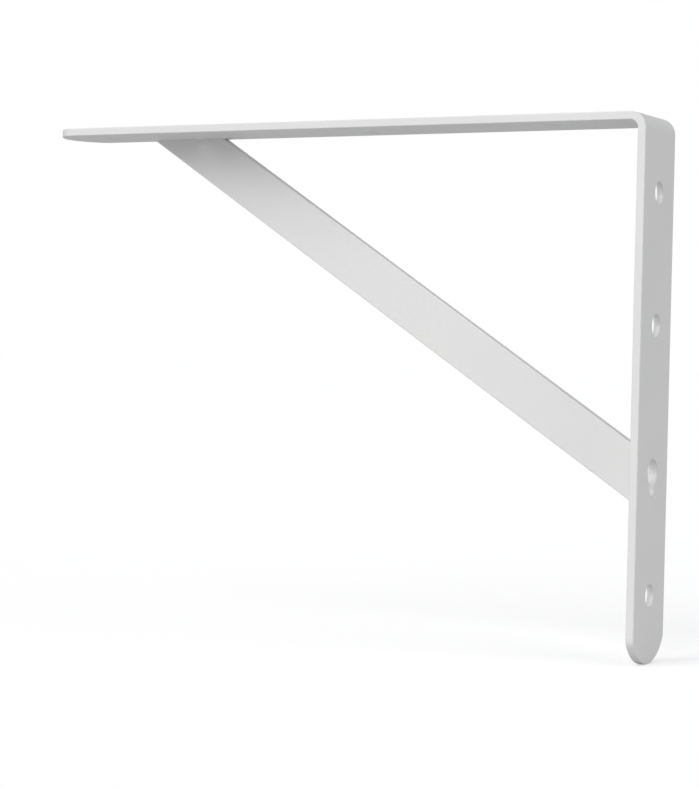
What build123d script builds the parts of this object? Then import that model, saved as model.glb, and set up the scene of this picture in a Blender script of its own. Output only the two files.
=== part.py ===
from build123d import *

import os
from math import atan2, cos, sin, sqrt

# Braced shelf bracket: one flat bar bent into an L, with a diagonal strut welded across it.
# Millimetres.  The origin is the centre of the upper wall screw hole, on the wall.
# +X points out from the wall along the shelf arm, +Y is the open side of the
# bracket, away from the strut, and +Z is up.

os.makedirs("parts", exist_ok=True)

# Flat bar of the two arms
bar_width = 40.0
bar_thickness = 4.0
bar_edge_radius = 0.5
bend_inner_radius = 4.0
shelf_reach = 338.0
wall_drop = 260.0

# Arched ends of the bar
end_arc_radius = 23.0
end_corner_radius = 7.0

# Screw holes in the wall arm, by their distance below the shelf's seat
upper_hole_drop = 37.0
middle_hole_drop = 99.5
lower_hole_drop = 227.5
wall_hole_diameter = 11.0
wall_sink_diameter = 15.0

# Keyhole in the wall arm: the travel is how far the bracket drops onto its screw
keyhole_drop = 169.0
keyhole_head_diameter = 13.0
keyhole_slot_width = 7.0
keyhole_travel = 8.0

# Screw holes in the shelf arm: distance from the wall, and 1 on the strut's side of the middle
shelf_holes = ((52.0, -1), (157.0, 1), (263.0, 1), (275.0, -1), (310.0, 0))
shelf_hole_stagger = 6.5
shelf_hole_diameter = 6.5
shelf_sink_diameter = 10.0

# Every screw hole is countersunk on the bar's inner skin for flat-headed screws
sink_angle = 90.0

# Strut: a narrower flat bar on edge, whose lower edge meets the two arms at these places
strut_depth = 23.5
strut_thickness = 5.0
strut_edge_radius = 0.5
strut_shelf_reach = 293.0
strut_wall_drop = 192.5

# Weld beads over the two seams, which stop short of the strut's own edges
weld_width = 5.0
weld_height = 0.9
weld_end_gap = 1.0

# Levels and slopes that the pieces share
seat_level = upper_hole_drop
underside_level = seat_level - bar_thickness
bottom_level = seat_level - wall_drop
strut_low_level = seat_level - strut_wall_drop
strut_far_side = -bar_width / 2
strut_near_side = strut_far_side + strut_thickness
strut_slope = atan2(underside_level - strut_low_level, strut_shelf_reach - bar_thickness)
strut_shelf_start = strut_shelf_reach - strut_depth / sin(strut_slope)
strut_top_level = strut_low_level + strut_depth / cos(strut_slope)


def arched_strip(plane, length):
    """Flat bar seen square on: it runs along the plane's x to an arched, softened end."""
    side = bar_width / 2
    straight = length - end_arc_radius + sqrt(end_arc_radius**2 - side**2)
    with BuildSketch(plane) as strip:
        with BuildLine():
            Polyline((straight, side), (0, side), (0, -side), (straight, -side))
            ThreePointArc((straight, -side), (length, 0), (straight, side))
        make_face()
        fillet(strip.vertices().group_by(Axis.X)[-1], end_corner_radius)
    return strip.sketch


# Bent bar: bent once over a round former, with both ends arched and all holes punched
with BuildPart() as bent_bar:
    shelf_plan = Plane(origin=(0, 0, seat_level))
    wall_front = Plane(origin=(bar_thickness, 0, 0), x_dir=(0, 1, 0), z_dir=(1, 0, 0))
    wall_back = Plane(origin=(0, 0, seat_level), x_dir=(0, 0, -1), z_dir=(1, 0, 0))
    underside = Plane(origin=(0, 0, underside_level), x_dir=(1, 0, 0), z_dir=(0, 0, -1))

    with BuildSketch(Plane.XZ) as bend_profile:
        with BuildLine():
            FilletPolyline(
                (shelf_reach, seat_level - bar_thickness / 2),
                (bar_thickness / 2, seat_level - bar_thickness / 2),
                (bar_thickness / 2, bottom_level),
                radius=bend_inner_radius + bar_thickness / 2,
            )
        trace(line_width=bar_thickness)
    extrude(amount=bar_width / 2, both=True)

    # The ends are arched in the flat, each seen square to its own arm
    extrude(arched_strip(shelf_plan, shelf_reach), amount=-wall_drop, mode=Mode.INTERSECT)
    extrude(arched_strip(wall_back, wall_drop), amount=shelf_reach, mode=Mode.INTERSECT)

    # Eased mill edges: every edge of the outline, not the bend lines or the cuts across
    outline = bent_bar.edges().filter_by(Axis.Y, reverse=True)
    outline = outline.filter_by(
        lambda edge: edge.geom_type != GeomType.LINE or edge.length > 2 * bar_thickness
    )
    fillet(outline, bar_edge_radius)

    # Wall screws
    with Locations(wall_front):
        with Locations(
            (0, seat_level - upper_hole_drop),
            (0, seat_level - middle_hole_drop),
            (0, seat_level - lower_hole_drop),
        ):
            CounterSinkHole(
                wall_hole_diameter / 2, wall_sink_diameter / 2, counter_sink_angle=sink_angle
            )

    # Shelf screws, staggered about the centre line so that they don't split a board
    with Locations(underside):
        with Locations(*[(reach, side * shelf_hole_stagger) for reach, side in shelf_holes]):
            CounterSinkHole(
                shelf_hole_diameter / 2, shelf_sink_diameter / 2, counter_sink_angle=sink_angle
            )

    # Keyhole: the bracket is hung over a driven screw, then drops onto its shank
    with BuildSketch(wall_front) as keyhole:
        with Locations((0, seat_level - keyhole_drop)):
            Circle(keyhole_head_diameter / 2)
        with Locations((0, seat_level - keyhole_drop - keyhole_travel / 2)):
            SlotCenterToCenter(keyhole_travel, keyhole_slot_width, rotation=90)
    extrude(amount=-bar_thickness, mode=Mode.SUBTRACT)

# Diagonal strut: flat bar on edge, mitred to butt the two arms, flush with their far edge
with BuildPart() as diagonal_strut:
    with BuildSketch(Plane.XZ.offset(-strut_near_side)) as mitred_bar:
        with BuildLine():
            Polyline(
                (strut_shelf_reach, underside_level),
                (strut_shelf_start, underside_level),
                (bar_thickness, strut_top_level),
                (bar_thickness, strut_low_level),
                close=True,
            )
        make_face()
    extrude(amount=strut_thickness)
    strut_run = Axis((0, 0, 0), (cos(strut_slope), 0, sin(strut_slope)))
    fillet(diagonal_strut.edges().filter_by(strut_run), strut_edge_radius)


def weld_bead(seam, length):
    """Weld bead over a flat seam: a low arc in section, rounded where the welder starts and stops.

    The seam runs from the plane's origin along its x, and the bead stands out along its z.
    """
    half_width = weld_width / 2
    crown_radius = (half_width**2 + weld_height**2) / (2 * weld_height)
    across = Plane(origin=seam.origin, x_dir=seam.y_dir, z_dir=seam.x_dir)
    with BuildPart() as bead:
        with BuildSketch(across) as half_section:
            with BuildLine():
                Polyline((0, weld_height), (0, 0), (half_width, 0))
                RadiusArc((half_width, 0), (0, weld_height), -crown_radius)
            make_face()
        extrude(amount=length)
        revolve(half_section.sketch, axis=Axis(seam.origin, seam.z_dir), revolution_arc=180)
        mirror(about=Plane(origin=seam.origin + seam.x_dir * length / 2, z_dir=seam.x_dir))
        mirror(about=Plane(origin=seam.origin, z_dir=seam.y_dir))
    return bead


# Upper weld: over the seam between the strut and the shelf arm, on their flush side
upper_start = strut_shelf_start + weld_width / 2 + weld_end_gap
upper_stop = strut_shelf_reach - weld_width / 2 / sin(strut_slope) - weld_end_gap
upper_end = (upper_start, strut_far_side, underside_level)
upper_weld = weld_bead(
    Plane(origin=upper_end, x_dir=(1, 0, 0), z_dir=(0, -1, 0)), upper_stop - upper_start
)

# Lower weld: over the seam between the strut and the wall arm, on their flush side
lower_start = strut_top_level - weld_width / 2 - weld_end_gap
lower_stop = strut_low_level + weld_width / 2 / cos(strut_slope) + weld_end_gap
lower_end = (bar_thickness, strut_far_side, lower_start)
lower_weld = weld_bead(
    Plane(origin=lower_end, x_dir=(0, 0, -1), z_dir=(0, -1, 0)), lower_start - lower_stop
)

bent_bar.part.label = "bent_bar"
export_step(bent_bar.part, "parts/bent_bar.step")

diagonal_strut.part.label = "diagonal_strut"
export_step(diagonal_strut.part, "parts/diagonal_strut.step")

upper_weld.part.label = "upper_weld"
export_step(upper_weld.part, "parts/upper_weld.step")

lower_weld.part.label = "lower_weld"
export_step(lower_weld.part, "parts/lower_weld.step")
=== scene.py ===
import math

import bpy
from mathutils import Matrix, Vector


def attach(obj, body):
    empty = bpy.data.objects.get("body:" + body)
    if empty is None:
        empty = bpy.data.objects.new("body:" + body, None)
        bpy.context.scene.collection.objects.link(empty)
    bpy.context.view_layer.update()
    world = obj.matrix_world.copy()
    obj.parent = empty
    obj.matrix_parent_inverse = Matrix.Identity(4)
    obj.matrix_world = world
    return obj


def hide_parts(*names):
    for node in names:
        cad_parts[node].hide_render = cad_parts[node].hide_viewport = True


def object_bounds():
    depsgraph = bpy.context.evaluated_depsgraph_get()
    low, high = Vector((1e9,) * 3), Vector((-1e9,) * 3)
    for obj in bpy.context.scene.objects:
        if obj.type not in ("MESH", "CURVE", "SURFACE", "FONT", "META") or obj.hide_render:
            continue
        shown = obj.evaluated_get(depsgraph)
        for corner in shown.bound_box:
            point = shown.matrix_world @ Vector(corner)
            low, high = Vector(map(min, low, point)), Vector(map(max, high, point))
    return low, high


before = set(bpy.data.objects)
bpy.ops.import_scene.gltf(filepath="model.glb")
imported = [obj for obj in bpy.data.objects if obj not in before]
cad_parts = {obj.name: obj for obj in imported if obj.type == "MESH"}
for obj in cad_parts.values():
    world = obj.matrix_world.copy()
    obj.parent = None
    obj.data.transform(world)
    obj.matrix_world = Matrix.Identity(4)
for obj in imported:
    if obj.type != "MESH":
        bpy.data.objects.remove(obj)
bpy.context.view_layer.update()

# Looks of the braced shelf bracket, a white powder-coated steel weldment.
#
# Metres, in the CAD frame: the origin is the centre of the upper wall screw hole,
# +X points out from the wall, +Y is the bracket's open side and +Z is up.


# Bent bar
#
# A flat steel bar, 40 x 4 mm, bent once into the L and punched.  The whole bracket was
# powder coated after welding, so one white coat runs over it, with a fine orange peel.

def find_socket(sockets, key):
    """A socket by its place, its identifier or its name."""
    if isinstance(key, int):
        return sockets[key]
    for socket in sockets:
        if socket.identifier == key:
            return socket
    return sockets[key]


def add_node(tree, kind, inputs=None, output=None, **settings):
    """One node, each input linked or given a value; returns the node or the asked output."""
    node = tree.nodes.new(kind)
    for name, value in settings.items():
        setattr(node, name, value)
    for key, value in (inputs or {}).items():
        socket = find_socket(node.inputs, key)
        if isinstance(value, bpy.types.NodeSocket):
            tree.links.new(value, socket)
        else:
            socket.default_value = value
    return node if output is None else find_socket(node.outputs, output)


def add_math(tree, operation, *values, clamp=False):
    """One Math node on the given values; returns its result."""
    return add_node(
        tree, "ShaderNodeMath", dict(enumerate(values)),
        output=0, operation=operation, use_clamp=clamp,
    )


def group_socket(tree, name, in_out, kind, value=None):
    """One named input or output of a node group, with its usual value."""
    socket = tree.interface.new_socket(name=name, in_out=in_out, socket_type="NodeSocket" + kind)
    if value is not None:
        socket.default_value = value


def build_powder_coat():
    """Surface of a baked powder coat: flow marks, orange peel, and less powder on arrises."""
    nibs_per_metre = 1900.0
    waves_per_metre = 24.0
    arris_radius = 0.0008
    most_mottle = 0.1
    most_pulled = 0.5
    gloss_change = 0.08
    group = bpy.data.node_groups.new("powder_coat_surface", "ShaderNodeTree")
    group_socket(group, "Coat", "INPUT", "Color", (0.80, 0.80, 0.79, 1.0))
    group_socket(group, "Thin coat", "INPUT", "Color", (0.63, 0.64, 0.64, 1.0))
    group_socket(group, "Gloss", "INPUT", "Float", 0.36)
    group_socket(group, "Peel per metre", "INPUT", "Float", 620.0)
    group_socket(group, "Nib height", "INPUT", "Float", 0.3)
    group_socket(group, "Colour", "OUTPUT", "Color")
    group_socket(group, "Roughness", "OUTPUT", "Float")
    group_socket(group, "Height", "OUTPUT", "Float")
    given = group.nodes.new("NodeGroupInput").outputs
    place = add_node(group, "ShaderNodeTexCoord", output="Object")

    # Orange peel: cells that flowed together in the oven, with finer nibs between them
    peel = add_node(
        group, "ShaderNodeTexVoronoi", {"Vector": place, "Scale": given["Peel per metre"]},
        output="Distance", feature="SMOOTH_F1",
    )
    nibs = add_node(
        group, "ShaderNodeTexNoise",
        {"Vector": place, "Scale": nibs_per_metre, "Detail": 3.0, "Roughness": 0.55}, output=0,
    )
    height = add_math(group, "MULTIPLY_ADD", nibs, given["Nib height"], peel)

    # Slow waves where the coat is thicker or thinner
    flow = add_node(
        group, "ShaderNodeTexNoise",
        {"Vector": place, "Scale": waves_per_metre, "Detail": 2.0, "Roughness": 0.5}, output=0,
    )
    mottle = add_node(
        group, "ShaderNodeMapRange",
        {
            "Value": flow, "From Min": 0.3, "From Max": 0.7,
            "To Min": 0.0, "To Max": most_mottle,
        },
        output=0,
    )

    # The powder pulls back from sharp arrises, where the thin coat looks greyer
    arris = add_node(group, "ShaderNodeBevel", {"Radius": arris_radius}, output=0, samples=6)
    face = add_node(group, "ShaderNodeNewGeometry", output="Normal")
    facing = add_node(
        group, "ShaderNodeVectorMath", {0: arris, 1: face}, output="Value", operation="DOT_PRODUCT",
    )
    pulled = add_node(
        group, "ShaderNodeMapRange",
        {
            "Value": facing, "From Min": 0.995, "From Max": 0.88,
            "To Min": 0.0, "To Max": most_pulled,
        },
        output=0,
    )
    thin = add_math(group, "ADD", pulled, mottle, clamp=True)
    colour = add_node(
        group, "ShaderNodeMix",
        {"Factor_Float": thin, "A_Color": given["Coat"], "B_Color": given["Thin coat"]},
        output="Result_Color", data_type="RGBA",
    )
    roughness = add_math(group, "MULTIPLY_ADD", flow, gloss_change, given["Gloss"])
    add_node(group, "NodeGroupOutput", {"Colour": colour, "Roughness": roughness, "Height": height})
    return group


powder_coat = build_powder_coat()


def coated_steel(name, **surface_values):
    """White powder coat on steel, with the coat's own values for this piece."""
    material = bpy.data.materials.new(name)
    material.use_nodes = True
    tree = material.node_tree
    paint = tree.nodes["Principled BSDF"]
    surface = add_node(tree, "ShaderNodeGroup", node_tree=powder_coat)
    for key, value in surface_values.items():
        surface.inputs[key.replace("_", " ")].default_value = value
    bump = add_node(
        tree, "ShaderNodeBump",
        {"Height": surface.outputs["Height"], "Strength": 0.5, "Distance": 0.00005}, output=0,
    )
    tree.links.new(surface.outputs["Colour"], paint.inputs["Base Color"])
    tree.links.new(surface.outputs["Roughness"], paint.inputs["Roughness"])
    tree.links.new(bump, paint.inputs["Normal"])
    paint.inputs["IOR"].default_value = 1.5
    return material


def dress(node, material):
    """Gives a CAD node its finish in place of the plain one."""
    node.data.materials.clear()
    node.data.materials.append(material)


dress(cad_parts["bent_bar"], coated_steel("white_coat_on_bar"))


# Diagonal strut
#
# A narrower flat bar set on edge, sheared to its two mitres and coated with the rest.
# The coat lies a little heavier on it, with a coarser peel.

strut_coat = coated_steel("white_coat_on_strut", Peel_per_metre=560.0, Gloss=0.34)
dress(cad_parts["diagonal_strut"], strut_coat)


# Weld beads
#
# Two short runs of weld over the flush seams between the strut and the arms.  The ripples
# that the moving weld pool left still show under the coat, and each end is rounded.

bead_half_width = 0.0025
bead_height = 0.0009
ripple_pitch = 0.0016
ripple_depth = 0.0002
shelf_seam_level = 0.033
wall_seam_reach = 0.004
flush_side = -0.02


def build_bead_tree():
    """Half-buried bead along x: a low arc across, rounded ends, and crescent ripples."""
    steps_along = 260
    steps_across = 25
    trail_share = 1.6
    unevenness_per_metre = 300.0
    most_uneven = 1.2
    tree = bpy.data.node_groups.new("weld_bead", "GeometryNodeTree")
    group_socket(tree, "Geometry", "INPUT", "Geometry")
    group_socket(tree, "Run", "INPUT", "Float")
    group_socket(tree, "Half width", "INPUT", "Float")
    group_socket(tree, "Height", "INPUT", "Float")
    group_socket(tree, "Ripple pitch", "INPUT", "Float")
    group_socket(tree, "Ripple depth", "INPUT", "Float")
    group_socket(tree, "Seed", "INPUT", "Float")
    group_socket(tree, "Coat", "INPUT", "Material")
    group_socket(tree, "Geometry", "OUTPUT", "Geometry")
    given = tree.nodes.new("NodeGroupInput").outputs
    half_run = add_math(tree, "MULTIPLY", given["Run"], 0.5)
    full_length = add_math(tree, "MULTIPLY_ADD", given["Half width"], 2.0, given["Run"])
    grid = add_node(
        tree, "GeometryNodeMeshGrid",
        {
            "Size X": full_length, "Size Y": 2.0,
            "Vertices X": steps_along, "Vertices Y": steps_across,
        },
        output="Mesh",
    )
    spot = add_node(
        tree, "ShaderNodeSeparateXYZ", {0: add_node(tree, "GeometryNodeInputPosition", output=0)}
    )
    along, share = spot.outputs["X"], spot.outputs["Y"]

    # Outline: straight sides, then half circles past the ends of the run
    from_middle = add_math(tree, "ABSOLUTE", along)
    past_end = add_math(tree, "MAXIMUM", add_math(tree, "SUBTRACT", from_middle, half_run), 0.0)
    past_squared = add_math(tree, "MULTIPLY", past_end, past_end)
    width_squared = add_math(tree, "MULTIPLY", given["Half width"], given["Half width"])
    chord_squared = add_math(tree, "SUBTRACT", width_squared, past_squared)
    half_chord = add_math(tree, "SQRT", add_math(tree, "MAXIMUM", chord_squared, 0.0))
    across = add_math(tree, "MULTIPLY", share, half_chord)

    # Low arc, from the outline up to the crown
    across_squared = add_math(tree, "MULTIPLY", across, across)
    reach_squared = add_math(tree, "ADD", past_squared, across_squared)
    arc = add_math(
        tree, "SUBTRACT", 1.0, add_math(tree, "DIVIDE", reach_squared, width_squared), clamp=True
    )

    # Ripples: crescents that trail towards the sides, a little uneven in their pitch
    trail_width = add_math(tree, "MULTIPLY", given["Half width"], trail_share)
    trail = add_math(tree, "DIVIDE", across_squared, trail_width)
    noise_place = add_math(tree, "MULTIPLY_ADD", along, unevenness_per_metre, given["Seed"])
    unevenness = add_node(
        tree, "ShaderNodeTexNoise", {"W": noise_place, "Scale": 1.0, "Detail": 1.0},
        output=0, noise_dimensions="1D",
    )
    count = add_math(tree, "DIVIDE", add_math(tree, "SUBTRACT", along, trail), given["Ripple pitch"])
    uneven_count = add_math(tree, "MULTIPLY_ADD", unevenness, most_uneven, count)
    turn = add_math(tree, "MULTIPLY", uneven_count, math.pi)
    ripple = add_math(tree, "ABSOLUTE", add_math(tree, "SINE", turn))
    trough = add_math(tree, "SUBTRACT", given["Height"], given["Ripple depth"])
    crown = add_math(tree, "MULTIPLY_ADD", ripple, given["Ripple depth"], trough)
    rise = add_math(tree, "MULTIPLY", arc, crown)

    # The arc's top and the flat seat share their outline, where they are merged
    top_place = add_node(tree, "ShaderNodeCombineXYZ", {0: along, 1: across, 2: rise}, output=0)
    top = add_node(
        tree, "GeometryNodeSetPosition", {"Geometry": grid, "Position": top_place}, output=0
    )
    seat_place = add_node(tree, "ShaderNodeCombineXYZ", {0: along, 1: across, 2: 0.0}, output=0)
    flipped = add_node(tree, "GeometryNodeFlipFaces", {"Mesh": grid}, output=0)
    seat = add_node(
        tree, "GeometryNodeSetPosition", {"Geometry": flipped, "Position": seat_place}, output=0
    )
    join = add_node(tree, "GeometryNodeJoinGeometry", {0: top})
    tree.links.new(seat, join.inputs[0])
    closed = add_node(
        tree, "GeometryNodeMergeByDistance", {"Geometry": join.outputs[0], "Distance": 1e-6}, output=0
    )
    real = add_node(tree, "GeometryNodeRealizeInstances", {"Geometry": closed}, output=0)
    coated = add_node(
        tree, "GeometryNodeSetMaterial", {"Geometry": real, "Material": given["Coat"]}, output=0
    )
    add_node(tree, "NodeGroupOutput", {"Geometry": coated})
    return tree


bead_tree = build_bead_tree()
weld_coat = coated_steel(
    "white_coat_on_weld", Peel_per_metre=700.0, Gloss=0.38, Nib_height=0.5
)


def lay_bead(name, start, stop, seed):
    """Weld bead from start to stop on the flush side, standing out along -Y, as a plain mesh."""
    run = stop - start
    host = bpy.data.objects.new(name + "_host", bpy.data.meshes.new(name + "_host"))
    bpy.context.scene.collection.objects.link(host)
    modifier = host.modifiers.new("bead", "NODES")
    modifier.node_group = bead_tree
    values = {
        "Run": run.length,
        "Half width": bead_half_width,
        "Height": bead_height,
        "Ripple pitch": ripple_pitch,
        "Ripple depth": ripple_depth,
        "Seed": seed,
        "Coat": weld_coat,
    }
    for item in bead_tree.interface.items_tree:
        if item.in_out == "INPUT" and item.name in values:
            modifier[item.identifier] = values[item.name]
    bpy.context.view_layer.update()
    depsgraph = bpy.context.evaluated_depsgraph_get()
    mesh = bpy.data.meshes.new_from_object(host.evaluated_get(depsgraph))
    bpy.data.objects.remove(host)

    out = Vector((0.0, -1.0, 0.0))
    side = out.cross(run.normalized())
    turn = Matrix((run.normalized(), side, out)).transposed().to_4x4()
    mesh.transform(Matrix.Translation((start + stop) / 2) @ turn)
    mesh.shade_smooth()
    mesh.set_sharp_from_angle(angle=math.radians(50.0))
    mesh.name = name
    bead = bpy.data.objects.new(name, mesh)
    bpy.context.scene.collection.objects.link(bead)
    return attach(bead, "root")


upper_bead = lay_bead(
    "upper_weld_bead",
    Vector((0.25348, flush_side, shelf_seam_level)),
    Vector((0.28742, flush_side, shelf_seam_level)),
    1.0,
)
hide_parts("upper_weld")

lower_bead = lay_bead(
    "lower_weld_bead",
    Vector((wall_seam_reach, flush_side, -0.13094)),
    Vector((wall_seam_reach, flush_side, -0.15152)),
    7.0,
)
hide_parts("lower_weld")


# Floor and background
#
# A plain white studio floor under the bracket's lower end, running out to a white background.
# What the camera sees of it is lifted to the background's white, and its shadow is kept.

floor_half = 30.0
floor_lift = 0.5
floor_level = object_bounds()[0].z
floor_mesh = bpy.data.meshes.new("studio_floor")
floor_mesh.from_pydata(
    [
        (-floor_half, -floor_half, floor_level),
        (floor_half, -floor_half, floor_level),
        (floor_half, floor_half, floor_level),
        (-floor_half, floor_half, floor_level),
    ],
    [],
    [(0, 1, 2, 3)],
)
floor = bpy.data.objects.new("studio_floor", floor_mesh)
bpy.context.scene.collection.objects.link(floor)
floor_paint = bpy.data.materials.new("studio_floor_paint")
floor_paint.use_nodes = True
floor_tree = floor_paint.node_tree
floor_shader = floor_tree.nodes["Principled BSDF"]
floor_shader.inputs["Base Color"].default_value = (0.62, 0.62, 0.62, 1.0)
floor_shader.inputs["Roughness"].default_value = 0.9
floor_shader.inputs["Specular IOR Level"].default_value = 0.0
floor_shader.inputs["Emission Color"].default_value = (1.0, 1.0, 1.0, 1.0)
seen = add_node(floor_tree, "ShaderNodeLightPath", output="Is Camera Ray")
seen_lift = add_math(floor_tree, "MULTIPLY", seen, floor_lift)
floor_tree.links.new(seen_lift, floor_shader.inputs["Emission Strength"])
floor_mesh.materials.append(floor_paint)

world = bpy.data.worlds.new("studio")
bpy.context.scene.world = world
world.use_nodes = True
sky = world.node_tree
sky.nodes.clear()
rays = add_node(sky, "ShaderNodeLightPath").outputs
direct = add_math(sky, "MAXIMUM", rays["Is Camera Ray"], rays["Is Transmission Ray"])
room = add_node(
    sky, "ShaderNodeBackground", {"Color": (0.97, 0.98, 1.0, 1.0), "Strength": 0.35}, output=0
)
backdrop = add_node(
    sky, "ShaderNodeBackground", {"Color": (1.0, 1.0, 1.0, 1.0), "Strength": 1.0}, output=0
)
sky_light = add_node(sky, "ShaderNodeMixShader", {0: direct, 1: room, 2: backdrop}, output=0)
add_node(sky, "ShaderNodeOutputWorld", {"Surface": sky_light})


# Studio lamps
#
# One broad soft lamp, raised, on the open side, and a weaker one behind the wall arm.
# Both are far off, so that the floor is lit evenly out to the background.

def broad_lamp(name, toward, spread, power):
    """Far, broad lamp that shines along the given direction."""
    light = bpy.data.lights.new(name, "SUN")
    light.energy = power
    light.angle = math.radians(spread)
    lamp = bpy.data.objects.new(name, light)
    lamp.rotation_euler = Vector(toward).to_track_quat("-Z", "Y").to_euler()
    bpy.context.scene.collection.objects.link(lamp)


broad_lamp("open_side_lamp", (-0.3, -1.0, -0.75), 60.0, 1.9)
broad_lamp("wall_side_lamp", (1.0, -0.15, -0.45), 60.0, 0.85)


# Camera
#
# A long lens on the open side, from behind the wall plane and just under the shelf arm.

lens = bpy.data.cameras.new("camera")
lens.lens = 104.48
lens.sensor_width = 36.0
lens.dof.use_dof = False
camera = bpy.data.objects.new("camera", lens)
camera.location = (-0.38169, 1.02183, -0.07881)
camera.rotation_euler = [math.radians(turn) for turn in (88.976, -1.288, -151.902)]
bpy.context.scene.collection.objects.link(camera)
bpy.context.scene.camera = camera
bpy.context.scene.view_settings.view_transform = "Standard"
